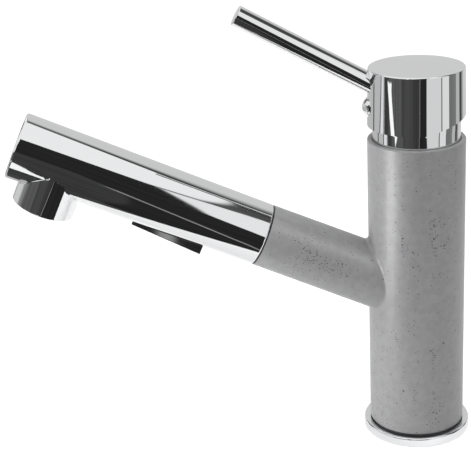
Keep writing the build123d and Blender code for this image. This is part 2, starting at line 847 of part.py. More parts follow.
# Diverter spool: piston that the button lifts against its spring
spool_bottom = -6.5
spool_top = -3.0
spool_tip_radius = 1.0
spool_tip = button_deck + 0.12
with BuildPart() as diverter_spool:
    with BuildSketch(spool_frame.offset(spool_bottom)):
        Circle(spool_radius)
    extrude(amount=spool_top - spool_bottom)
    with BuildSketch(spool_frame.offset(spool_tip)):
        Circle(spool_tip_radius)
    extrude(amount=spool_bottom - spool_tip)
    with BuildSketch(spool_frame.offset((spool_bottom + spool_top) / 2 - 0.5)):
        ring(spool_radius, spool_radius - 0.6)
    extrude(amount=1.0, mode=Mode.SUBTRACT)

spring_radius = 1.8
spring_wire = 0.3
spring_turns = 5
spring_height = spring_seat - spool_top - 2 * spring_wire
spring_pitch = spring_height / spring_turns
spring_frame = spool_frame.offset(spool_top + spring_wire)
with BuildPart() as diverter_spring:
    with BuildLine():
        coil = Helix(
            pitch=spring_pitch,
            height=spring_height,
            radius=spring_radius,
            center=spring_frame.origin,
            direction=spring_frame.z_dir,
        )
    with BuildSketch(Plane(origin=coil @ 0, z_dir=coil % 0)):
        RegularPolygon(radius=spring_wire, side_count=6)
    sweep(path=coil, is_frenet=True)

# Outlet: moulded chamber, soft spray nozzles behind a chromed face plate, and the aerator
chamber_radius = 13.2
chamber_top = -6.0
chamber_roof = -3.5
chamber_bottom = 19.5
chamber_bore = 11.8
with BuildPart() as nozzle_chamber:
    with BuildSketch(outlet_frame.offset(chamber_top)):
        Circle(chamber_radius)
    extrude(amount=-chamber_top)
    with BuildSketch(spout_frame.offset(joint_line)):
        Circle(handset_bore - 0.2)
    extrude(amount=handset_tip - joint_line, mode=Mode.INTERSECT)
    with BuildSketch(outlet_frame):
        Circle(chamber_radius)
    extrude(amount=chamber_bottom)
    with BuildSketch(outlet_frame.offset(chamber_roof)):
        Circle(chamber_bore)
    extrude(amount=chamber_bottom - chamber_roof, mode=Mode.SUBTRACT)
    with BuildSketch(spout_frame.offset(waterway_front)):
        Circle(nose_radius + 0.05)
    extrude(amount=nose_front - waterway_front, mode=Mode.SUBTRACT)

nozzle_count = 20
nozzle_circle = 11.0
nozzle_radius = 0.85
nozzle_web = 1.2
plate_inner = 8.7
plate_face = 23.2
nozzle_tip = 24.0
with BuildPart() as spray_nozzles:
    with BuildSketch(outlet_frame.offset(chamber_bottom)):
        ring(chamber_radius, plate_inner + 0.4)
    extrude(amount=nozzle_web)
    with BuildSketch(outlet_frame.offset(chamber_bottom + nozzle_web)):
        with PolarLocations(nozzle_circle, nozzle_count):
            Circle(nozzle_radius)
    extrude(amount=nozzle_tip - chamber_bottom - nozzle_web)

with BuildPart() as spray_plate:
    with BuildSketch(outlet_frame.offset(chamber_bottom + nozzle_web)):
        ring(outlet_bore - 0.1, plate_inner)
        with PolarLocations(nozzle_circle, nozzle_count):
            Circle(nozzle_radius + 0.1, mode=Mode.SUBTRACT)
    extrude(amount=plate_face - chamber_bottom - nozzle_web)

aerator_radius = plate_inner - 0.1
aerator_wall = 1.5
aerator_top = 14.5
aerator_face = 23.7
lip_height = 0.9
lip_radius = 6.3
with BuildPart() as aerator_housing:
    with BuildSketch(outlet_frame.offset(aerator_top)):
        ring(aerator_radius, aerator_radius - aerator_wall)
    extrude(amount=aerator_face - lip_height - aerator_top)
    with BuildSketch(outlet_frame.offset(aerator_face - lip_height)):
        ring(aerator_radius, lip_radius)
    extrude(amount=lip_height)

screen_height = 1.4
cell_pitch = 1.9
cell_radius = 0.72
screen_radius = aerator_radius - aerator_wall
cell_rows = range(-3, 4)
cell_centres = [
    ((column + row / 2) * cell_pitch, row * cell_pitch * cos(radians(30)))
    for row in cell_rows
    for column in range(-6, 7)
]
open_cells = [spot for spot in cell_centres if hypot(*spot) < lip_radius - cell_radius]
with BuildPart() as aerator_screen:
    with BuildSketch(outlet_frame.offset(aerator_face - lip_height - screen_height)):
        Circle(screen_radius)
        with Locations(*open_cells):
            RegularPolygon(radius=cell_radius, side_count=6, major_radius=False, mode=Mode.SUBTRACT)
    extrude(amount=screen_height)

pieces = {
    "base_ring": base_ring,
    "base_seal": base_seal,
    "foot": foot,
    "lower_slide_ring": lower_slide_ring,
    "upper_slide_ring": upper_slide_ring,
    "column_head": column_head,
    "cold_pipe": cold_pipe,
    "mixed_pipe": mixed_pipe,
    "hot_pipe": hot_pipe,
    "cartridge_seals": cartridge_seals,
    "cartridge_base": cartridge_base,
    "fixed_disc": fixed_disc,
    "cartridge_housing": cartridge_housing,
    "cartridge_nut": cartridge_nut,
    "neck_ring": neck_ring,
    "turret": turret,
    "pivot_pin": pivot_pin,
    "moving_disc": moving_disc,
    "disc_carrier": disc_carrier,
    "spindle": spindle,
    "lever_cap": lever_cap,
    "lever_rod": lever_rod,
    "grub_screw": grub_screw,
    "index_plug": index_plug,
    "spout_shell": spout_shell,
    "stop_screw": stop_screw,
    "guide_bush": guide_bush,
    "pullout_hose": pullout_hose,
    "handset_shell": handset_shell,
    "handset_tail": handset_tail,
    "hose_fitting": hose_fitting,
    "hose_washer": hose_washer,
    "check_valve": check_valve,
    "waterway": waterway,
    "button_pin": button_pin,
    "spray_button": spray_button,
    "diverter_spool": diverter_spool,
    "diverter_spring": diverter_spring,
    "nozzle_chamber": nozzle_chamber,
    "spray_nozzles": spray_nozzles,
    "spray_plate": spray_plate,
    "aerator_housing": aerator_housing,
    "aerator_screen": aerator_screen,
}
os.makedirs("parts", exist_ok=True)
for name, builder in pieces.items():
    builder.part.label = name
    export_step(builder.part, f"parts/{name}.step")
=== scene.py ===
"""Looks of a pull-out kitchen mixer tap: chrome, speckled grey paint, braided hose and coil."""

import json
import logging
import math
from abc import ABC, abstractmethod
from dataclasses import dataclass
from enum import Enum

import bmesh
import bpy
from mathutils import Matrix, Vector


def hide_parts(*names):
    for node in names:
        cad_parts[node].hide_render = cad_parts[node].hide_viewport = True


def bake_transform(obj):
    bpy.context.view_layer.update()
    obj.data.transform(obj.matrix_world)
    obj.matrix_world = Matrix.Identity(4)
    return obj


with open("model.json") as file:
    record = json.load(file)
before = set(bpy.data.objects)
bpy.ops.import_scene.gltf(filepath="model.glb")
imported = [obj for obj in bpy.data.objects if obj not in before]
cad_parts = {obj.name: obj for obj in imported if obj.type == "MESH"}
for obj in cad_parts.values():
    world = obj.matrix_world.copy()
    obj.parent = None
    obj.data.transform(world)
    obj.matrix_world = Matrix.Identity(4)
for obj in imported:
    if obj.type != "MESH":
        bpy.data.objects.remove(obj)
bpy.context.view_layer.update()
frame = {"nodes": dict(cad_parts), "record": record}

LOG = logging.getLogger("tap")

# Short names for types
Colour = tuple[float, float, float, float]
Place = tuple[float, float, float]
Socket = bpy.types.NodeSocket

# The tap's own lines, in radians and metres
SPOUT_RISE = math.radians(24.56)
SPOUT_ROOT = Vector((0.0, 0.0, 0.0723))
HOSE_BEND = math.radians(65.44)
LEVER_RISE = math.radians(29.96)
LEVER_ROOT = (0.0, 0.0, 0.16497)
COLUMN_ROOT = (0.0, 0.0, 0.0)
UPRIGHT = (0.0, 0.0, 1.0)

# How far a finish's roughness strays below and above its own value
ROUGH_SPREAD = (-0.06, 0.08)


def slanting(rise: float) -> Vector:
    """The unit vector that points to the tap's front, risen by an angle in radians."""
    return Vector((0.0, -math.cos(rise), math.sin(rise)))


SPOUT_WAY = slanting(SPOUT_RISE)
SPOUT_UP = Vector((0.0, math.sin(SPOUT_RISE), math.cos(SPOUT_RISE)))


def on_spout(along: float, above: float = 0.0) -> Vector:
    """A point given by its place on the spout's line.

    Args:
        along: distance from the column's axis, in metres.
        above: height over the spout's axis, square to it, in metres.

    Returns:
        The point in the tap's frame.
    """
    return SPOUT_ROOT + SPOUT_WAY * along + SPOUT_UP * above


def compass(azimuth: float, elevation: float) -> Vector:
    """A direction from its bearing.

    Args:
        azimuth: degrees anticlockwise from +X, seen from above.
        elevation: degrees above the horizon.

    Returns:
        A unit vector.
    """
    turn = math.radians(azimuth)
    rise = math.radians(elevation)
    return Vector((math.cos(rise) * math.cos(turn), math.cos(rise) * math.sin(turn),
                   math.sin(rise)))


class Mixed(Enum):
    """What a Mix node mixes: its data type, and the places of both inputs and the output."""

    number = ("FLOAT", 2, 3, 0)
    colour = ("RGBA", 6, 7, 2)


class Recipe:
    """A node tree with short calls that add nodes and join them."""

    def __init__(self, tree: bpy.types.NodeTree) -> None:
        """Keeps the tree that the nodes go into."""
        self.tree = tree

    def add(self, kind: str, *values: object, **settings: object) -> bpy.types.Node:
        """Adds a node.

        Args:
            kind: Blender's name of the node's type, without its ShaderNode prefix.
            *values: what its first inputs are fed with.
            **settings: the node's properties.

        Returns:
            The new node.
        """
        node = self.tree.nodes.new("ShaderNode" + kind)
        for name, value in settings.items():
            setattr(node, name, value)
        for place, value in enumerate(values):
            self.feed(node.inputs[place], value)
        return node

    def feed(self, socket: Socket, value: object) -> None:
        """Joins an output to a socket, or sets the socket's own value.

        Args:
            socket: the input to fill.
            value: an output socket, a number or a tuple.
        """
        if isinstance(value, Socket):
            self.tree.links.new(value, socket)
        else:
            socket.default_value = value

    def math(self, operation: str, *values: object) -> Socket:
        """The result of a Math node on the values."""
        return self.add("Math", *values, operation=operation).outputs[0]

    def vector(self, operation: str, *values: object) -> Socket:
        """The vector that a Vector Math node gives for the values."""
        return self.add("VectorMath", *values, operation=operation).outputs["Vector"]

    def measure(self, operation: str, *values: object) -> Socket:
        """The number that a Vector Math node gives for the values."""
        return self.add("VectorMath", *values, operation=operation).outputs["Value"]

    def dot(self, vector: Socket, other: Vector | Place) -> Socket:
        """The dot product of a vector socket and a fixed vector."""
        return self.measure("DOT_PRODUCT", vector, tuple(other))

    def scaled(self, vector: object, factor: object) -> Socket:
        """A vector times a number."""
        node = self.add("VectorMath", vector, operation="SCALE")
        self.feed(node.inputs["Scale"], factor)
        return node.outputs["Vector"]

    def ramp(self, value: object, low: float, high: float, start: float = 0.0,
             stop: float = 1.0, smooth: bool = True) -> Socket:
        """A value carried from one range to another, clamped.

        Args:
            value: the socket to read.
            low: the input that gives start.
            high: the input that gives stop.
            start: the output at low.
            stop: the output at high.
            smooth: whether the change eases in and out.

        Returns:
            The output socket.
        """
        node = self.add("MapRange", interpolation_type="SMOOTHSTEP" if smooth else "LINEAR")
        ends = {"From Min": low, "From Max": high, "To Min": start, "To Max": stop}
        for name, number in ends.items():
            node.inputs[name].default_value = number
        self.feed(node.inputs["Value"], value)
        return node.outputs["Result"]

    def mixed(self, kind: Mixed, factor: object, first: object, second: object) -> Socket:
        """A value part of the way from the first to the second.

        Args:
            kind: what is mixed.
            factor: how far it has gone, from 0 to 1.
            first: the value at 0.
            second: the value at 1.

        Returns:
            The output socket.
        """
        data_type, one, two, out = kind.value
        node = self.add("Mix", factor, data_type=data_type)
        self.feed(node.inputs[one], first)
        self.feed(node.inputs[two], second)
        return node.outputs[out]

    def blend(self, factor: object, first: object, second: object) -> Socket:
        """A number part of the way from the first to the second."""
        return self.mixed(Mixed.number, factor, first, second)

    def tint(self, factor: object, first: object, second: object) -> Socket:
        """A colour part of the way from the first to the second."""
        return self.mixed(Mixed.colour, factor, first, second)

    def noise(self, where: Socket, scale: float, detail: float = 2.0) -> Socket:
        """The value of a noise pattern, with the scale in cells per metre."""
        node = self.add("TexNoise")
        self.feed(node.inputs["Vector"], where)
        node.inputs["Scale"].default_value = scale
        node.inputs["Detail"].default_value = detail
        return node.outputs["Fac"]

    def place(self) -> Socket:
        """The point's own coordinates on its object, in metres."""
        return self.add("TexCoord").outputs["Object"]

    def light(self, strength: float) -> Socket:
        """A white glow."""
        node = self.add("Emission")
        node.inputs["Strength"].default_value = strength
        return node.outputs[0]

    def matt(self, albedo: float) -> Socket:
        """A grey matt surface."""
        node = self.add("BsdfDiffuse")
        node.inputs["Color"].default_value = (albedo, albedo, albedo, 1.0)
        return node.outputs[0]

    def lit(self, albedo: float, strength: float) -> Socket:
        """A matt surface that also glows, so that it is pale and still takes a shadow."""
        return self.add("AddShader", self.matt(albedo), self.light(strength)).outputs[0]

    def surfaces(self, factor: Socket, first: Socket, second: Socket) -> Socket:
        """The first shader where the factor is 0 and the second where it is 1."""
        return self.add("MixShader", factor, first, second).outputs[0]

    def bump(self, shader: bpy.types.Node, height: Socket, depth: float) -> None:
        """Gives a shader a bump.

        Args:
            shader: the shader to change.
            height: the height pattern, from 0 to 1.
            depth: the pattern's depth, in metres.
        """
        node = self.add("Bump")
        node.inputs["Strength"].default_value = 1.0
        node.inputs["Distance"].default_value = depth
        self.feed(node.inputs["Height"], height)
        self.feed(shader.inputs["Normal"], node.outputs[0])


def blank_material(name: str) -> tuple[bpy.types.Material, Recipe]:
    """Makes a material with an empty node tree.

    Args:
        name: the material's name.

    Returns:
        The material and its recipe.
    """
    material = bpy.data.materials.new(name)
    material.use_nodes = True
    material.node_tree.nodes.clear()
    return material, Recipe(material.node_tree)


def put(name: str, data: bpy.types.ID) -> bpy.types.Object:
    """Puts a new object in the scene.

    Args:
        name: the object's name.
        data: its mesh, lamp or camera.

    Returns:
        The object.
    """
    item = bpy.data.objects.new(name, data)
    bpy.context.scene.collection.objects.link(item)
    return item


def put_shape(name: str, shape: bmesh.types.BMesh,
              material: bpy.types.Material) -> bpy.types.Object:
    """Puts a bmesh in the scene as an object.

    Args:
        name: the object's and the mesh's name.
        shape: the mesh, which is freed.
        material: its material.

    Returns:
        The object.
    """
    mesh = bpy.data.meshes.new(name)
    shape.to_mesh(mesh)
    shape.free()
    mesh.materials.append(material)
    return put(name, mesh)


@dataclass(frozen=True)
class Viewpoint:
    """The photograph's camera, found by fitting the tap's outlines to the photograph.

    Attributes:
        azimuth: where it stands, in degrees from the tap's front towards +X.
        distance: how far it stands from the column's axis, in metres.
        height: how high it stands, in metres.
        yaw: how far it looks aside of the axis, in degrees.
        pitch: how far it looks down, in degrees.
        roll: how far it is tilted, in degrees.
        focal_px: its focal length, in pixels.
        centre_px: where its line of sight meets the picture, in pixels.
        frame_px: the picture's width and height, in pixels.
        sensor: its sensor's width, in millimetres.
        clip: the nearest and the farthest that it sees, in metres.
    """

    azimuth: float = 80.82
    distance: float = 0.58447
    height: float = 0.32936
    yaw: float = 7.37
    pitch: float = 20.39
    roll: float = -2.57
    focal_px: float = 1297.35
    centre_px: tuple[float, float] = (259.3, 217.3)
    frame_px: tuple[int, int] = (471, 455)
    sensor: float = 36.0
    clip: tuple[float, float] = (0.01, 50.0)

    def axes(self) -> tuple[Vector, Vector, Vector]:
        """The camera's right, up and forward directions."""
        turn = math.radians(self.azimuth + self.yaw)
        pitch = math.radians(self.pitch)
        roll = math.radians(self.roll)
        level = Vector((-math.sin(turn), math.cos(turn), 0.0))
        right = Vector((math.cos(turn), math.sin(turn), 0.0))
        forward = level * math.cos(pitch) - Vector((0.0, 0.0, math.sin(pitch)))
        up = right.cross(forward)
        return (right * math.cos(roll) + up * math.sin(roll),
                up * math.cos(roll) - right * math.sin(roll),
                forward)

    def build(self) -> None:
        """Makes the camera and gives it to the scene."""
        data = bpy.data.cameras.new("photo_camera")
        data.sensor_width = self.sensor
        data.sensor_fit = "HORIZONTAL"
        width, height = self.frame_px
        data.lens = self.focal_px / width * self.sensor
        data.shift_x = (width / 2 - self.centre_px[0]) / width
        data.shift_y = (self.centre_px[1] - height / 2) / width
        data.clip_start, data.clip_end = self.clip
        right, up, forward = self.axes()
        azimuth = math.radians(self.azimuth)
        spot = Vector((math.sin(azimuth) * self.distance, -math.cos(azimuth) * self.distance,
                       self.height))
        turn = Matrix((right, up, -forward)).transposed().to_4x4()
        camera = put("photo_camera", data)
        camera.matrix_world = Matrix.Translation(spot) @ turn
        bpy.context.scene.camera = camera


@dataclass(frozen=True)
class Panel:
    """One pale or dark panel of the studio, as polished metal sees it.

    Attributes:
        corners: bearings of a convex outline, as azimuth and elevation in degrees.
        glow: how bright the panel is, where 1 is white.
        soft: how wide the panel's edge fades, as the sine of an angle.
    """

    corners: tuple[tuple[float, float], ...]
    glow: float
    soft: float

    def mask(self, recipe: Recipe, direction: Socket) -> Socket:
        """A socket that is 1 inside the panel and 0 outside.

        Args:
            recipe: the node tree to add to.
            direction: the direction looked in.

        Returns:
            The mask's output socket.
        """
        bearings = [compass(*corner) for corner in self.corners]
        middle = sum(bearings, Vector())
        inside = None
        for first, second in zip(bearings, bearings[1:] + bearings[:1]):
            edge = first.cross(second).normalized()
            if edge.dot(middle) < 0:
                edge = -edge
            side = recipe.dot(direction, edge)
            inside = side if inside is None else recipe.math("MINIMUM", inside, side)
        return recipe.ramp(inside, -self.soft / 2, self.soft / 2)


@dataclass(frozen=True)
class Card:
    """A small pale card that stands on the table beside the handset, at the camera's left.

    Attributes:
        distance: how far it stands in front of the column's axis, in metres.
        outline: places along the card and heights, in metres.
        glow: how bright it is, where 1 is white.
    """

    distance: float = 0.450
    outline: tuple[tuple[float, float], ...] = (
        (0.092, 0.081), (0.189, 0.074), (0.182, 0.068), (0.210, 0.051), (0.231, 0.040),
        (0.255, 0.028), (0.300, 0.0), (0.215, 0.0), (0.170, 0.038), (0.145, 0.049),
        (0.134, 0.058), (0.113, 0.070))
    glow: float = 1.12

    def build(self) -> None:
        """Makes the card, which polished metal shows and the camera doesn't."""
        shape = bmesh.new()
        shape.faces.new([shape.verts.new((x, -self.distance, z)) for x, z in self.outline])
        material, recipe = blank_material("lit_card")
        recipe.add("OutputMaterial", recipe.light(self.glow))
        card = put_shape("table_card", shape, material)
        card.visible_camera = False
        card.visible_shadow = False


@dataclass(frozen=True)
class Lamp:
    """A soft lamp aimed at the tap.

    Attributes:
        name: the lamp's name.
        bearing: its azimuth and elevation from the tap, in degrees.
        distance: its distance, in metres.
        size: its width and height, in metres.
        watts: its power.
        paint_only: whether it lights the painted shell alone, gloss and all.
        aim: the height on the column's axis that it points at, in metres.
    """

    name: str
    bearing: tuple[float, float]
    distance: float
    size: tuple[float, float]
    watts: float
    paint_only: bool = False
    aim: float = 0.11

    def build(self) -> None:
        """Makes the lamp."""
        data = bpy.data.lights.new(self.name, "AREA")
        data.shape = "RECTANGLE"
        data.size, data.size_y = self.size
        data.energy = self.watts
        towards = compass(*self.bearing)
        spot = Vector((0.0, 0.0, self.aim)) + towards * self.distance
        lamp = put(self.name, data)
        lamp.matrix_world = (Matrix.Translation(spot)
                             @ towards.to_track_quat("Z", "Y").to_matrix().to_4x4())
        lamp.visible_camera = False
        if self.paint_only:
            painted = bpy.data.collections.new(self.name + "_lights")
            painted.objects.link(frame["nodes"]["spout_shell"])
            lamp.light_linking.receiver_collection = painted
        else:
            lamp.visible_glossy = False


@dataclass(frozen=True)
class Table:
    """The table that polished metal sees round the tap, with a white sheet on it.

    Attributes:
        bearing: where its front edge lies from the column, in degrees.
        front: how far off that edge is, in metres.
        end: where it ends along Y, in metres.
        reach: the radius where it starts to fade, in metres.
        fade: the width over which it fades, in metres.
        sheet_corner: where the sheet's corner lies beside the handset's end, in metres.
        sheet_sides: the bearings square to the sheet's two sides, in degrees.
        edge: half the width over which an edge fades, in metres.
    """

    bearing: float = -38.7
    front: float = 0.132
    end: float = -0.245
    reach: float = 0.36
    fade: float = 0.05
    sheet_corner: tuple[float, float] = (0.078, -0.2297)
    sheet_sides: tuple[float, float] = (-103.6, 0.0)
    edge: float = 0.002

    def sheet(self, recipe: Recipe, where: Socket) -> Socket:
        """A socket that is 1 on the sheet.

        Args:
            recipe: the floor's nodes.
            where: the coordinates.

        Returns:
            The mask's output socket.
        """
        corner = Vector((*self.sheet_corner, 0.0))
        sides = []
        for bearing in self.sheet_sides:
            across = compass(bearing, 0.0)
            place = recipe.dot(where, across)
            sides.append(recipe.math("SUBTRACT", place, corner.dot(across)))
        return recipe.ramp(recipe.math("MINIMUM", *sides), -self.edge, self.edge)

    def mask(self, recipe: Recipe, where: Socket) -> Socket:
        """A socket that is 1 on the table and the sheet.

        Args:
            recipe: the floor's nodes.
            where: the coordinates.

        Returns:
            The mask's output socket.
        """
        ahead = recipe.dot(where, compass(self.bearing, 0.0))
        front = recipe.ramp(ahead, self.front - self.edge, self.front + self.edge, 1.0, 0.0)
        back = recipe.dot(where, Vector((0.0, 1.0, 0.0)))
        end = recipe.ramp(back, self.end - self.edge, self.end + self.edge)
        top = recipe.math("MULTIPLY", front, end)
        radius = recipe.measure("LENGTH", where)
        near = recipe.ramp(radius, self.reach, self.reach + self.fade, 1.0, 0.0)
        return recipe.math("MULTIPLY", recipe.math("MAXIMUM", top, self.sheet(recipe, where)), near)


@dataclass(frozen=True)
class Studio:
    """A pale floor, plain soft light and the panels that the chrome reflects.

    Attributes:
        room: how bright polished metal sees the room between the panels.
        daylight: how bright the rest sees it.
        streak_scale: how many level streaks the panels have, in cells.
        streak_squash: how flat the streaks are.
        streak_range: how far they dim and brighten a dark panel.
        streak_fade: the panel's brightness from which, and to which, they fade out.
        floor_radius: the floor's radius, in metres.
        floor_sides: how many sides the floor has.
        floor_albedo: how pale the floor is to the light.
        floor_mirrored: its matt part and its glow, as polished metal sees it.
        floor_seen: the same, as the camera sees it.
        table: the part of the floor that polished metal sees.
        card: the card beside the handset.
        lamps: the lamps.
        panels: the panels, each over the ones before it.
    """

    room: float = 0.020
    daylight: float = 0.225
    streak_scale: float = 14.0
    streak_squash: float = 0.12
    streak_range: tuple[float, float] = (0.72, 1.28)
    streak_fade: tuple[float, float] = (0.12, 0.5)
    floor_radius: float = 3.0
    floor_sides: int = 96
    floor_albedo: float = 0.74
    floor_mirrored: tuple[float, float] = (0.74, 0.36)
    floor_seen: tuple[float, float] = (0.35, 0.87)
    table: Table = Table()
    card: Card = Card()
    lamps: tuple[Lamp, ...] = (
        Lamp("strip_lamp", (-67.3, -12.0), 0.278, (0.06, 0.125), 0.37, True),
        Lamp("box_lamp", (42.0, 47.0), 1.2, (0.5, 0.5), 2.8, True),
        Lamp("left_lamp", (-97.0, 25.0), 1.3, (0.5, 0.5), 6.8),
        Lamp("rear_lamp", (110.0, 60.0), 1.3, (0.6, 0.6), 5.4),
        Lamp("top_lamp", (-20.0, 78.0), 1.3, (0.4, 0.4), 5.8),
    )
    panels: tuple[Panel, ...] = (
        # High on the right and behind
        Panel(((38, 36), (38, 66), (110, 66), (110, 36)), 0.085, 0.05),
        Panel(((100, 30), (100, 66), (178, 66), (178, 30)), 0.11, 0.05),
        # The far walls
        Panel(((104, -70), (104, 52.6), (180, 37.0), (178, -70)), 0.66, 0.085),
        Panel(((165, -70), (165, 42), (-86, 38), (-86, -70)), 0.66, 0.12),
        # The dim corner high on the right
        Panel(((80, 40), (80, 66), (124, 66), (124, 40)), 0.045, 0.40),
        # Low on the left and behind
        Panel(((-170, -46), (-142, -46), (-115, -46), (-88, -46), (-60, -46), (-60, -80),
               (-170, -80)), 0.06, 0.05),
        # The left side
        Panel(((-101, -4), (-101, 12), (-76, 12), (-76, -4)), 0.24, 0.25),
        Panel(((-147, -12), (-147, 2), (-143, 2), (-143, -12)), 0.12, 0.02),
        Panel(((-145, 8), (-145, 46), (-118, 46), (-118, 8)), 0.12, 0.05),
        Panel(((-112, 8), (-112, 62), (-28, 62), (-28, 8)), 0.88, 0.06),
        Panel(((178, -42), (178, -9), (-97, -9), (-97, -42)), 0.53, 0.07),
        Panel(((-129.3, -30), (-129.3, -8), (-124.5, -8), (-124.5, -30)), 0.10, 0.012),
        # Low on the near side, in front of the table
        Panel(((-76, -2.5), (3, -3.5), (-0.9, -13), (-8.5, -43), (-80, -78), (-125, -70)),
              0.045, 0.008),
        Panel(((-86, -30), (-86, 4), (-40, 4), (-40, -30)), 0.100, 0.09),
        Panel(((-89, -30), (-89, -10), (-76, -10), (-76, -30)), 0.05, 0.03),
        Panel(((-44, -30), (-44, 12), (-16, 12), (-16, -30)), 0.060, 0.07),
        Panel(((-1.45, -11.8), (-0.65, -11.8), (-7.15, -43), (-8.05, -43)), 0.33, 0.008),
        # The right side, which the cap and the rings show in upright bands
        Panel(((98, -40), (98, 26), (124.5, 26), (124.5, -40)), 0.21, 0.24),
        Panel(((94.5, -40), (94.5, 22), (107.8, 22), (107.8, -40)), 0.51, 0.035),
        Panel(((110.5, -40), (110.5, 22), (117, 22), (117, -40)), 0.05, 0.05),
        Panel(((73, -40), (73, 22), (94.5, 22), (94.5, -40)), 0.195, 0.03),
        Panel(((50, -20.5), (50, 44), (55, 45), (55, -20.5)), 0.012, 0.012),
        Panel(((52.5, -20.5), (52.5, 44), (72, 46), (72, -20.5)), 0.79, 0.03),
        # The pale screen right of the camera
        Panel(((14, -20.5), (15.2, 6.2), (15.3, 13), (24.2, 29.2), (30.4, 38.3), (54.5, 48.2),
               (49.7, -20.5)), 0.90, 0.012),
        Panel(((14, -20.5), (14.5, 0.5), (49.7, 0.5), (49.7, -20.5)), 0.72, 0.012),
        Panel(((10.5, -13.2), (20.5, -18.6), (5, -18.6)), 0.02, 0.010),
        # The pale ceiling
        Panel(((97.0, 56.2), (42.8, 45.5), (30.4, 39.2), (19.9, 37.3), (-17.0, 26.0),
               (-163, 26.0)), 0.95, 0.012),
    )

    def sky(self) -> None:
        """Makes the world: white to the camera, panels to polished metal, even to the rest."""
        world = bpy.data.worlds.new("studio")
        world.use_nodes = True
        world.node_tree.nodes.clear()
        bpy.context.scene.world = world
        recipe = Recipe(world.node_tree)
        direction = recipe.add("TexCoord").outputs["Generated"]
        glow: object = self.room
        for panel in self.panels:
            glow = recipe.blend(panel.mask(recipe, direction), glow, panel.glow)
        flat = recipe.add("Mapping", direction)
        flat.inputs["Scale"].default_value = (1.0, 1.0, self.streak_squash)
        waves = recipe.noise(flat.outputs[0], self.streak_scale, detail=5.0)
        streaks = recipe.ramp(waves, 0.25, 0.75, *self.streak_range, smooth=False)
        spread = recipe.blend(recipe.ramp(glow, *self.streak_fade), streaks, 1.0)
        glow = recipe.math("MULTIPLY", glow, spread)
        rays = recipe.add("LightPath")
        shine = recipe.blend(rays.outputs["Is Glossy Ray"], self.daylight, glow)
        seen = recipe.blend(rays.outputs["Is Camera Ray"], shine, 1.0)
        recipe.add("OutputWorld", recipe.add("Background", seen).outputs[0])

    def floor(self) -> None:
        """Makes the pale floor, which keeps the tap's shadow."""
        disc = bmesh.new()
        bmesh.ops.create_circle(disc, cap_ends=True, segments=self.floor_sides,
                                radius=self.floor_radius)
        put_shape("floor", disc, self.floor_finish())

    def floor_finish(self) -> bpy.types.Material:
        """The floor's material: white to the camera, and to polished metal only the table.

        Returns:
            The material.
        """
        material, recipe = blank_material("pale_floor")
        table = self.table.mask(recipe, recipe.place())
        rays = recipe.add("LightPath")
        clear = recipe.add("BsdfTransparent").outputs[0]
        mirrored = recipe.surfaces(table, clear, recipe.lit(*self.floor_mirrored))
        matt = recipe.matt(self.floor_albedo)
        other = recipe.surfaces(rays.outputs["Is Glossy Ray"], matt, mirrored)
        seen = recipe.lit(*self.floor_seen)
        whole = recipe.surfaces(rays.outputs["Is Camera Ray"], other, seen)
        recipe.add("OutputMaterial", whole)
        return material

    def build(self) -> None:
        """Makes the sky, the floor, the card and the lamps."""
        bpy.context.scene.view_settings.view_transform = "Standard"
        self.sky()
        self.floor()
        self.card.build()
        for lamp in self.lamps:
            lamp.build()


class Finish(ABC):
    """A surface finish, made as a node material once and shared."""

    name: str

    def make(self) -> bpy.types.Material:
        """The finish's material, made on its first use.

        Returns:
            The material.
        """
        title = self.name + "_finish"
        material = bpy.data.materials.get(title)
        if material is None:
            material = bpy.data.materials.new(title)
            material.use_nodes = True
            shader = material.node_tree.nodes["Principled BSDF"]
            self.mix(Recipe(material.node_tree), shader)
        return material

    @abstractmethod
    def mix(self, recipe: Recipe, shader: bpy.types.Node) -> None:
        """Adds the finish's nodes round the shader."""


@dataclass(frozen=True)
class Lathe:
    """The line that a round piece was turned on.

    A round face has a seam in its mesh, where its shading bends a little. The normals near its
    radius are set true to the line, so that a mirror finish runs past the seam.

    Attributes:
        foot: a point on the line, in metres.
        way: the line's direction.
        least: the smallest radius that is set true, in metres.
        most: the largest such radius, in metres.
        slip: the largest sideways lean that is taken out, as a sine.
    """

    foot: Place
    way: Place
    least: float
    most: float
    slip: float = 0.075

    def normal(self, recipe: Recipe) -> Socket:
        """The surface's normal, true to the line.

        Args:
            recipe: the material's nodes.

        Returns:
            The normal's output socket.
        """
        point = recipe.add("TexCoord")
        normal = point.outputs["Normal"]
        gap = recipe.vector("SUBTRACT", point.outputs["Object"], self.foot)
        along = recipe.scaled(self.way, recipe.dot(gap, self.way))
        radial = recipe.vector("SUBTRACT", gap, along)
        across = recipe.vector("NORMALIZE", recipe.vector("CROSS_PRODUCT", self.way, radial))
        lean = recipe.measure("DOT_PRODUCT", normal, across)
        radius = recipe.measure("LENGTH", radial)
        inside = recipe.math("MULTIPLY", recipe.math("GREATER_THAN", radius, self.least),
                             recipe.math("LESS_THAN", radius, self.most))
        slight = recipe.math("LESS_THAN", recipe.math("ABSOLUTE", lean), self.slip)
        excess = recipe.math("MULTIPLY", lean, recipe.math("MULTIPLY", inside, slight))
        turned = recipe.vector("SUBTRACT", normal, recipe.scaled(across, excess))
        world = recipe.add("VectorTransform", turned, vector_type="NORMAL",
                           convert_from="OBJECT", convert_to="WORLD")
        return recipe.vector("NORMALIZE", world.outputs[0])


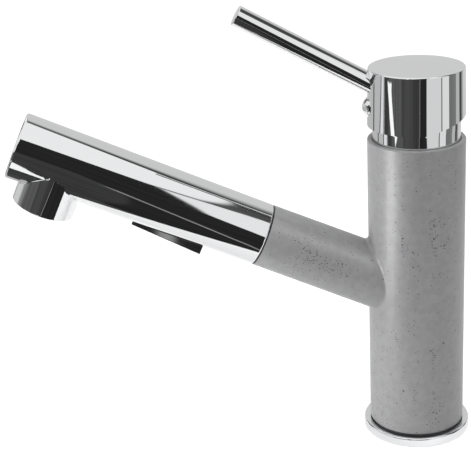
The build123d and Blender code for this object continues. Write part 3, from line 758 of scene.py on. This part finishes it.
@dataclass(frozen=True)
class Chrome(Finish):
    """Polished chrome plate with faint wipe marks, true to its lathe line where it has one.

    Attributes:
        name: the finish's name.
        lathe: the line that the piece was turned on.
        bright: its colour where it is clean.
        dull: its colour where it is wiped.
        cloud_scale: how large the clouds are, in cells per metre.
        wipe_scale: how fine the wipe marks are, in cells per metre.
        polish: its least roughness.
        haze: how much rougher the marks make it.
    """

    name: str = "polished_chrome"
    lathe: Lathe | None = None
    bright: Colour = (0.865, 0.87, 0.875, 1.0)
    dull: Colour = (0.83, 0.835, 0.845, 1.0)
    cloud_scale: float = 45.0
    wipe_scale: float = 420.0
    polish: float = 0.022
    haze: float = 0.05

    def mix(self, recipe: Recipe, shader: bpy.types.Node) -> None:
        """Varies the colour and the gloss with two sizes of noise."""
        if self.lathe is not None:
            recipe.feed(shader.inputs["Normal"], self.lathe.normal(recipe))
        where = recipe.place()
        cloud = recipe.noise(where, self.cloud_scale, detail=3.0)
        wipe = recipe.noise(where, self.wipe_scale, detail=4.0)
        marks = recipe.math("MULTIPLY", cloud, wipe)
        rough = recipe.math("MULTIPLY_ADD", marks, self.haze, self.polish)
        shader.inputs["Metallic"].default_value = 1.0
        recipe.feed(shader.inputs["Base Color"], recipe.tint(cloud, self.bright, self.dull))
        recipe.feed(shader.inputs["Roughness"], rough)


@dataclass(frozen=True)
class Cluster:
    """A place where the paint has more specks.

    Attributes:
        middle: its centre, in metres.
        reach: its radius, in metres.
        share: how many more cells hold a speck at its middle, from 0 to 1.
    """

    middle: Place
    reach: float
    share: float


@dataclass(frozen=True)
class Specks:
    """One size of scattered round speck.

    Attributes:
        scale: cells per metre.
        share: how few cells hold a speck, from 0 to 1.
        size: the speck's radius, as a share of a cell.
        crowding: how far the crowded places add to the specks, from 0 to 1.
        strength: how dark a speck is, from 0 to 1.
        doubt: the width over which a cell's speck comes in.
        least: the smallest speck's share of the size.
        rim: how soft a speck's edge is, as a share of the size.
    """

    scale: float
    share: float
    size: float
    crowding: float
    strength: float
    doubt: float = 0.02
    least: float = 0.45
    rim: float = 0.35

    def mask(self, recipe: Recipe, where: Socket, crowd: Socket) -> Socket:
        """How dark the specks make the paint.

        Args:
            recipe: the material's nodes.
            where: the coordinates.
            crowd: how many more cells hold one, from 0 to 1.

        Returns:
            A socket that is up to the strength on a speck and 0 beside it.
        """
        cells = recipe.add("TexVoronoi", feature="F1")
        recipe.feed(cells.inputs["Vector"], where)
        cells.inputs["Scale"].default_value = self.scale
        pick = recipe.add("SeparateColor", cells.outputs["Color"])
        odds = recipe.math("ADD", pick.outputs[0], recipe.math("MULTIPLY", crowd, self.crowding))
        chosen = recipe.ramp(odds, self.share, self.share + self.doubt)
        reach = recipe.math("MULTIPLY", pick.outputs[1], self.size)
        whole = recipe.math("ADD", reach, self.size * self.least)
        near = recipe.math("SUBTRACT", whole, cells.outputs["Distance"])
        speck = recipe.math("MULTIPLY", chosen, recipe.ramp(near, 0.0, self.size * self.rim))
        return recipe.math("MULTIPLY", speck, self.strength)


@dataclass(frozen=True)
class GranitePaint(Finish):
    """Matt grey powder coat with sparse dark specks, like granite.

    Attributes:
        name: the finish's name.
        pale: the grey's light tone.
        deep: the grey's dark tone.
        speck: the specks' colour.
        mottle_scale: how large the mottle is, in cells per metre.
        grain_scale: how fine the grain is, in cells per metre.
        weights: how much the mottle and the grain count in the tone.
        gloss: the roughness between which the grain varies it.
        relief: the grain's depth, in metres.
        crowd_scale: how large the thin crowds of specks are, in cells per metre.
        crowd_share: how many more cells hold a speck there, from 0 to 1.
        specks: the two sizes of speck.
        clusters: the places with more specks.
    """

    name: str = "granite_paint"
    pale: Colour = (0.325, 0.325, 0.33, 1.0)
    deep: Colour = (0.27, 0.27, 0.275, 1.0)
    speck: Colour = (0.045, 0.045, 0.05, 1.0)
    mottle_scale: float = 300.0
    grain_scale: float = 2600.0
    weights: tuple[float, float] = (0.6, 0.4)
    gloss: tuple[float, float] = (0.39, 0.48)
    relief: float = 0.00003
    crowd_scale: float = 55.0
    crowd_share: float = 0.40
    specks: tuple[Specks, Specks] = (
        Specks(620.0, 0.975, 0.24, 0.55, 1.0),
        Specks(1100.0, 0.905, 0.30, 1.0, 0.85),
    )
    clusters: tuple[Cluster, ...] = (
        # The near side of the stub
        Cluster((0.0147, -0.0558, 0.1018), 0.0062, 0.82),
        Cluster((0.0148, -0.0487, 0.0980), 0.0062, 0.84),
        Cluster((0.0150, -0.0448, 0.0945), 0.0058, 0.80),
        Cluster((0.0150, -0.0391, 0.0925), 0.0056, 0.76),
        Cluster((0.0150, -0.0366, 0.0908), 0.0050, 0.70),
        Cluster((0.0148, -0.0622, 0.0973), 0.0060, 0.70),
        Cluster((0.0136, -0.0573, 0.1058), 0.0052, 0.66),
        Cluster((0.0151, -0.0520, 0.0970), 0.0130, 0.50),
        # The near side of the column
        Cluster((0.0216, 0.0079, 0.1030), 0.0110, 0.50),
        Cluster((0.0223, 0.0056, 0.1140), 0.0080, 0.40),
        Cluster((0.0230, 0.0008, 0.0240), 0.0090, 0.45),
        Cluster((0.0227, 0.0040, 0.0160), 0.0080, 0.45),
        Cluster((0.0186, -0.0135, 0.0530), 0.0085, 0.30),
        Cluster((0.0221, -0.0063, 0.0620), 0.0085, 0.30),
        # The other sides
        Cluster((-0.0150, -0.0600, 0.1000), 0.0140, 0.50),
        Cluster((-0.0220, 0.0060, 0.0700), 0.0150, 0.45),
        Cluster((-0.0060, 0.0222, 0.1150), 0.0130, 0.40),
        Cluster((0.0020, -0.0229, 0.0350), 0.0120, 0.45),
    )

    def crowding(self, recipe: Recipe, where: Socket) -> Socket:
        """How many more specks there are in the crowded places, as a share of the cells.

        Args:
            recipe: the material's nodes.
            where: the coordinates.

        Returns:
            The share's output socket.
        """
        drift = recipe.noise(where, self.crowd_scale)
        share = recipe.ramp(drift, 0.56, 0.72, 0.0, self.crowd_share)
        for cluster in self.clusters:
            gap = recipe.measure("DISTANCE", where, cluster.middle)
            near = recipe.ramp(gap, cluster.reach * 0.35, cluster.reach, cluster.share, 0.0)
            share = recipe.math("MAXIMUM", share, near)
        return share

    def mix(self, recipe: Recipe, shader: bpy.types.Node) -> None:
        """Lays mottle, two sizes of speck and a fine grain over the grey."""
        where = recipe.place()
        mottle = recipe.ramp(recipe.noise(where, self.mottle_scale, detail=4.0), 0.32, 0.68)
        grain = recipe.noise(where, self.grain_scale)
        tones = [recipe.math("MULTIPLY", tone, weight)
                 for tone, weight in zip((mottle, grain), self.weights)]
        grey = recipe.tint(recipe.math("ADD", *tones), self.deep, self.pale)
        crowd = self.crowding(recipe, where)
        dark = recipe.math("MAXIMUM", *(size.mask(recipe, where, crowd) for size in self.specks))
        recipe.feed(shader.inputs["Base Color"], recipe.tint(dark, grey, self.speck))
        recipe.feed(shader.inputs["Roughness"], recipe.ramp(grain, 0.3, 0.7, *self.gloss))
        shader.inputs["Specular IOR Level"].default_value = 1.0
        shader.inputs["Sheen Weight"].default_value = 0.25
        shader.inputs["Sheen Roughness"].default_value = 0.35
        recipe.bump(shader, grain, self.relief)


@dataclass(frozen=True)
class Moulded(Finish):
    """Moulded plastic, rubber or ceramic with a fine even grain.

    Attributes:
        name: the finish's name.
        light: its light tone.
        shade: its dark tone.
        rough: its roughness.
        grain_scale: how fine the grain is, in cells per metre.
        relief: the grain's depth, in metres.
        cloud_scale: how large the tone's clouds are, in cells per metre.
    """

    name: str
    light: Colour
    shade: Colour
    rough: float
    grain_scale: float = 900.0
    relief: float = 0.00002
    cloud_scale: float = 120.0

    def mix(self, recipe: Recipe, shader: bpy.types.Node) -> None:
        """Varies the colour, the gloss and the height with noise."""
        where = recipe.place()
        cloud = recipe.noise(where, self.cloud_scale, detail=3.0)
        grain = recipe.noise(where, self.grain_scale)
        gloss = [self.rough + stray for stray in ROUGH_SPREAD]
        recipe.feed(shader.inputs["Base Color"], recipe.tint(cloud, self.light, self.shade))
        recipe.feed(shader.inputs["Roughness"], recipe.ramp(grain, 0.25, 0.75, *gloss))
        recipe.bump(shader, grain, self.relief)


@dataclass(frozen=True)
class Turned(Finish):
    """Machined metal with fine turning rings round the Z axis.

    Attributes:
        name: the finish's name.
        light: its clean tone.
        shade: its tarnished tone.
        rough: its roughness.
        ring_scale: how fine the rings are.
        wander: how uneven the rings are.
        relief: the rings' depth, in metres.
        tarnish_scale: how large the tarnish is, in cells per metre.
    """

    name: str
    light: Colour
    shade: Colour
    rough: float = 0.26
    ring_scale: float = 900.0
    wander: float = 0.6
    relief: float = 0.000006
    tarnish_scale: float = 80.0

    def mix(self, recipe: Recipe, shader: bpy.types.Node) -> None:
        """Lays rings and a little tarnish on the metal."""
        where = recipe.place()
        rings = recipe.add("TexWave", wave_type="RINGS", rings_direction="Z")
        recipe.feed(rings.inputs["Vector"], where)
        rings.inputs["Scale"].default_value = self.ring_scale
        rings.inputs["Distortion"].default_value = self.wander
        height = rings.outputs["Fac"]
        tarnish = recipe.ramp(recipe.noise(where, self.tarnish_scale, detail=4.0), 0.3, 0.75)
        gloss = [self.rough + stray for stray in ROUGH_SPREAD]
        shader.inputs["Metallic"].default_value = 1.0
        recipe.feed(shader.inputs["Base Color"], recipe.tint(tarnish, self.light, self.shade))
        recipe.feed(shader.inputs["Roughness"], recipe.ramp(height, 0.0, 1.0, *gloss))
        recipe.bump(shader, height, self.relief)


@dataclass(frozen=True)
class Braid(Finish):
    """Grey nylon braid, laid along the hose by its own map.

    Attributes:
        name: the finish's name.
        strands: how many strands go round the hose each way.
        pitch: the length of hose in which two strands cross again, in metres.
        gap: the colour between the strands.
        strand: the strands' colour.
        gloss: the roughness in the gaps and on the strands.
        relief: the strands' height, in metres.
    """

    name: str = "grey_braid"
    strands: float = 16.0
    pitch: float = 0.006
    gap: Colour = (0.05, 0.05, 0.055, 1.0)
    strand: Colour = (0.30, 0.30, 0.31, 1.0)
    gloss: tuple[float, float] = (0.75, 0.45)
    relief: float = 0.0002

    def mix(self, recipe: Recipe, shader: bpy.types.Node) -> None:
        """Crosses two sets of slanting strands."""
        chart = recipe.add("UVMap", uv_map="along_hose")
        split = recipe.add("SeparateXYZ", chart.outputs[0])
        around = recipe.math("MULTIPLY", split.outputs[0], self.strands)
        along = recipe.math("DIVIDE", split.outputs[1], self.pitch)
        ways = []
        for slant in ("ADD", "SUBTRACT"):
            lay = recipe.math("FRACT", recipe.math(slant, around, along))
            ways.append(recipe.math("PINGPONG", recipe.math("MULTIPLY", lay, 2.0), 1.0))
        height = recipe.ramp(recipe.math("MAXIMUM", *ways), 0.35, 1.0)
        recipe.feed(shader.inputs["Base Color"], recipe.tint(height, self.gap, self.strand))
        recipe.feed(shader.inputs["Roughness"], recipe.ramp(height, 0.0, 1.0, *self.gloss))
        recipe.bump(shader, height, self.relief)


class Slot(Enum):
    """The record's material slots and their finishes."""

    chrome = Chrome()
    granite_paint = GranitePaint()
    black_rubber = Moulded("black_rubber", (0.035, 0.035, 0.036, 1), (0.02, 0.02, 0.02, 1),
                           0.6, 700.0)
    brass = Turned("machined_brass", (0.78, 0.60, 0.30, 1), (0.58, 0.42, 0.20, 1))
    black_acetal = Moulded("black_acetal", (0.10, 0.10, 0.105, 1), (0.065, 0.065, 0.07, 1), 0.42)
    copper_pipe = Turned("drawn_copper", (0.80, 0.42, 0.28, 1), (0.55, 0.27, 0.17, 1), 0.3)
    white_plastic = Moulded("white_plastic", (0.82, 0.82, 0.80, 1), (0.74, 0.74, 0.71, 1), 0.38)
    ceramic_white = Moulded("lapped_ceramic", (0.88, 0.88, 0.86, 1), (0.80, 0.79, 0.76, 1),
                            0.16, 2500.0, 0.000004)
    ceramic_dark = Moulded("dark_ceramic", (0.17, 0.17, 0.18, 1), (0.11, 0.11, 0.12, 1),
                           0.16, 2500.0, 0.000004)
    blue_plastic = Moulded("blue_plastic", (0.08, 0.22, 0.52, 1), (0.05, 0.15, 0.38, 1), 0.4)
    steel = Turned("bright_steel", (0.66, 0.66, 0.66, 1), (0.52, 0.52, 0.53, 1), 0.24)
    hose_braid = Braid()
    grey_plastic = Moulded("grey_plastic", (0.30, 0.30, 0.31, 1), (0.22, 0.22, 0.23, 1), 0.42)
    soft_grey = Moulded("soft_grey", (0.34, 0.34, 0.35, 1), (0.27, 0.27, 0.28, 1), 0.55, 1200.0)


def dress(name: str, finish: Finish) -> None:
    """Gives a CAD node a finish.

    Args:
        name: the node's name.
        finish: its finish.
    """
    node = frame["nodes"][name]
    if not node.material_slots:
        node.data.materials.append(None)
    for slot in node.material_slots:
        slot.material = finish.make()


def finish_piece(name: str, shape: bmesh.types.BMesh, slot: Slot) -> bpy.types.Object:
    """Turns a bmesh into a finished smooth piece of the tap.

    Args:
        name: the piece's name.
        shape: the mesh, which is freed.
        slot: the record's material slot.

    Returns:
        The new object.
    """
    for face in shape.faces:
        face.smooth = True
    piece = put_shape(name, shape, slot.value.make())
    LOG.info("%s: %d faces", name, len(piece.data.polygons))
    return piece


@dataclass(frozen=True)
class Hose:
    """The pull-out hose, from the handset's ferrule round one bend and down the column.

    Its straight run inside the stub is packed with rings.

    Attributes:
        radius: its outer radius, in metres.
        bore: its inner radius, in metres.
        bend: the bend's radius, in metres.
        start: where the ferrule is on the spout's line, in metres.
        foot: how high its lower end is, in metres.
        travel: how far the handset is pulled, in metres.
        sides: how many sides it has.
        gathered: how many rings the straight run has.
        bend_steps: how many rings the bend has.
        drop_steps: how many rings the run down the column has.
        stretch: where on the spout's line the hose follows the handset, and where the spout.
    """

    radius: float = 0.005
    bore: float = 0.0032
    bend: float = 0.030
    start: float = 0.038
    foot: float = 0.001
    travel: float = 0.5
    sides: int = 24
    gathered: int = 90
    bend_steps: int = 16
    drop_steps: int = 8
    stretch: tuple[float, float] = (0.0362, 0.0208)

    def eased(self, along: float) -> float:
        """How much of the handset's travel a point on the straight run takes, from 0 to 1."""
        far, near = self.stretch
        share = min(max((along - near) / (far - near), 0.0), 1.0)
        return share * share * (3 - 2 * share)

    def stations(self) -> list[tuple[Vector, Vector, float]]:
        """Points down the hose, each with its direction and the length of hose above it.

        Returns:
            A list of point, direction and length, from the ferrule to the foot.
        """
        inward = -SPOUT_WAY
        reach = self.bend * math.tan(HOSE_BEND / 2)
        run = []
        for step in range(self.gathered + 1):
            along = self.start + (reach - self.start) * step / self.gathered
            length = (self.start - along) + self.travel * (1.0 - self.eased(along))
            run.append((on_spout(along), inward, length))
        length = run[-1][2]
        begin = on_spout(reach)
        centre = begin - SPOUT_UP * self.bend
        for step in range(1, self.bend_steps + 1):
            angle = HOSE_BEND * step / self.bend_steps
            spin = Matrix.Rotation(-angle, 3, "X")
            run.append((centre + spin @ (begin - centre), spin @ inward,
                        length + self.bend * angle))
        end, _, length = run[-1]
        down = Vector((0.0, 0.0, -1.0))
        for step in range(1, self.drop_steps + 1):
            drop = (end.z - self.foot) * step / self.drop_steps
            run.append((Vector((0.0, 0.0, end.z - drop)), down, length + drop))
        return run

    def build(self) -> None:
        """Makes the hose."""
        shape = bmesh.new()
        chart = shape.loops.layers.uv.new("along_hose")
        lengths = shape.verts.layers.float.new("length")
        side_way = Vector((1.0, 0.0, 0.0))
        rings = []
        for point, way, length in self.stations():
            turn = Matrix((side_way, way.cross(side_way), way)).transposed().to_4x4()
            ring = bmesh.ops.create_circle(shape, segments=self.sides, radius=self.radius,
                                           matrix=Matrix.Translation(point) @ turn)["verts"]
            for vertex in ring:
                vertex[lengths] = length
            rings.append(ring)
        for upper, lower in zip(rings, rings[1:]):
            for side in range(self.sides):
                after = (side + 1) % self.sides
                face = shape.faces.new((upper[side], upper[after], lower[after], lower[side]))
                for loop, place in zip(face.loops, (side, side + 1, side + 1, side)):
                    loop[chart].uv = (place / self.sides, loop.vert[lengths])
        bmesh.ops.recalc_face_normals(shape, faces=shape.faces)
        hose = finish_piece("pullout_hose_braid", shape, Slot.hose_braid)
        wall = hose.modifiers.new("wall", "SOLIDIFY")
        wall.thickness = self.radius - self.bore
        wall.offset = -1.0
        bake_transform(hose)
        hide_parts("pullout_hose")


@dataclass(frozen=True)
class Spring:
    """The diverter's spring, as it stands at rest.

    Its coil is the CAD node's own, with points that lie together joined into one.

    Attributes:
        along: where it is on the spout's line, in metres; not used.
        low: how far over the line its lower end is, in metres; not used.
        high: how far over the line its upper end is, in metres; not used.
        joined: how near two points are that become one, in metres.
    """

    along: float = 0.112
    low: float = -0.0030
    high: float = 0.0054
    joined: float = 1e-6

    def build(self) -> None:
        """Makes the coil."""
        shape = bmesh.new()
        shape.from_mesh(frame["nodes"]["diverter_spring"].data)
        bmesh.ops.remove_doubles(shape, verts=shape.verts, dist=self.joined)
        coil = finish_piece("diverter_spring_coil", shape, Slot.steel)
        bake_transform(coil)
        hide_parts("diverter_spring")


@dataclass(frozen=True)
class Tap:
    """The whole tap: every carried-over node with its finish, and the added pieces.

    Attributes:
        hose: the pull-out hose.
        spring: the diverter's spring.
        turned: the chromed round pieces and the lines that they were turned on.
    """

    hose: Hose = Hose()
    spring: Spring = Spring()
    turned: tuple[tuple[str, Lathe], ...] = (
        ("base_ring", Lathe(COLUMN_ROOT, UPRIGHT, 0.0235, 0.0265)),
        ("neck_ring", Lathe(COLUMN_ROOT, UPRIGHT, 0.0195, 0.0212)),
        ("lever_cap", Lathe(COLUMN_ROOT, UPRIGHT, 0.0205, 0.0235)),
        ("lever_rod", Lathe(LEVER_ROOT, tuple(slanting(LEVER_RISE)), 0.0043, 0.0050)),
        ("handset_shell", Lathe(tuple(SPOUT_ROOT), tuple(SPOUT_WAY), 0.0140, 0.0160)),
    )

    def dress_nodes(self) -> None:
        """Gives every CAD node its slot's finish, and each turned piece its own lathe line."""
        for part in frame["record"]["subparts"]:
            dress(part["node"], Slot[part["material_slot"]].value)
        for name, lathe in self.turned:
            dress(name, Chrome(name + "_chrome", lathe))

    def build(self) -> None:
        """Dresses the nodes and makes the added pieces."""
        self.dress_nodes()
        self.hose.build()
        self.spring.build()


def main() -> None:
    """Builds the camera, the studio and the tap."""
    logging.basicConfig(level=logging.INFO, format="%(message)s")
    Viewpoint().build()
    Studio().build()
    Tap().build()
    LOG.info("nodes dressed: %d", len(frame["nodes"]))


if __name__ == "__main__":
    main()
